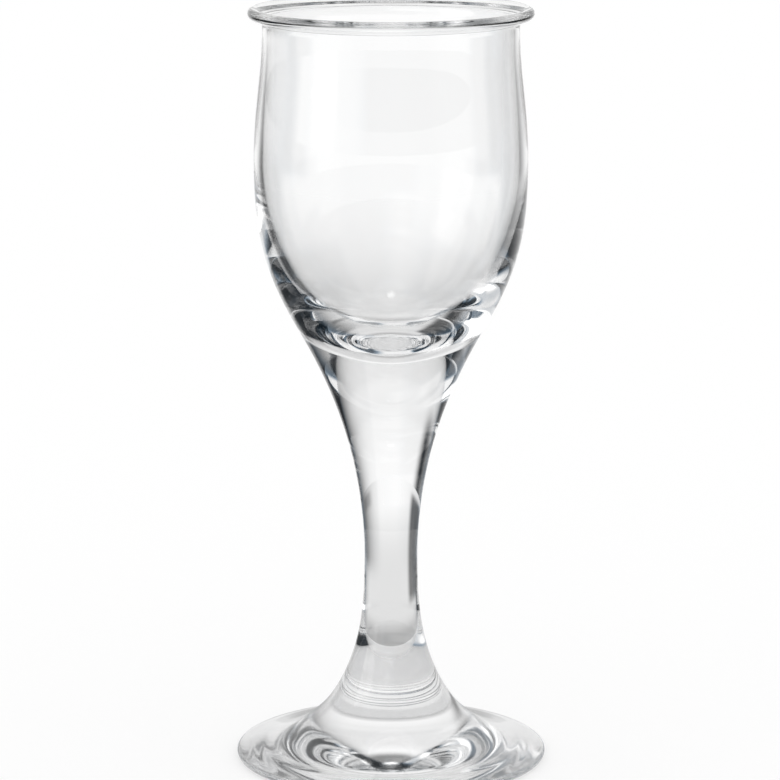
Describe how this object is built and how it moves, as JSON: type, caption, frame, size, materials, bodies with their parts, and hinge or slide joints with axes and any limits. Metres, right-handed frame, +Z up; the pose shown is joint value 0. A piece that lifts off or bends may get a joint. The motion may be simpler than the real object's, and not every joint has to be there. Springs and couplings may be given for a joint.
{
  "type": "liqueur glass",
  "caption": "Small stemmed liqueur glass in clear glass: tulip bowl with rolled lip and thick base, waisted solid stem, and a wide shallow foot to stand on.",
  "frame": {"origin": "middle of the underside of the foot, on the plane that the glass stands on", "axes": "+Z up along the axis of the glass, from the foot to the rim; the glass is round, so X and Y are free"},
  "size_m": [0.055, 0.055, 0.1334],
  "materials": {
    "bowl_glass": "clear, fire-polished",
    "stem_glass": "clear, fire-polished",
    "foot_glass": "clear, fire-polished"
  },
  "bodies": {
    "root": {"bowl": "bowl_glass", "stem": "stem_glass", "foot": "foot_glass"}
  },
  "joints": []
}
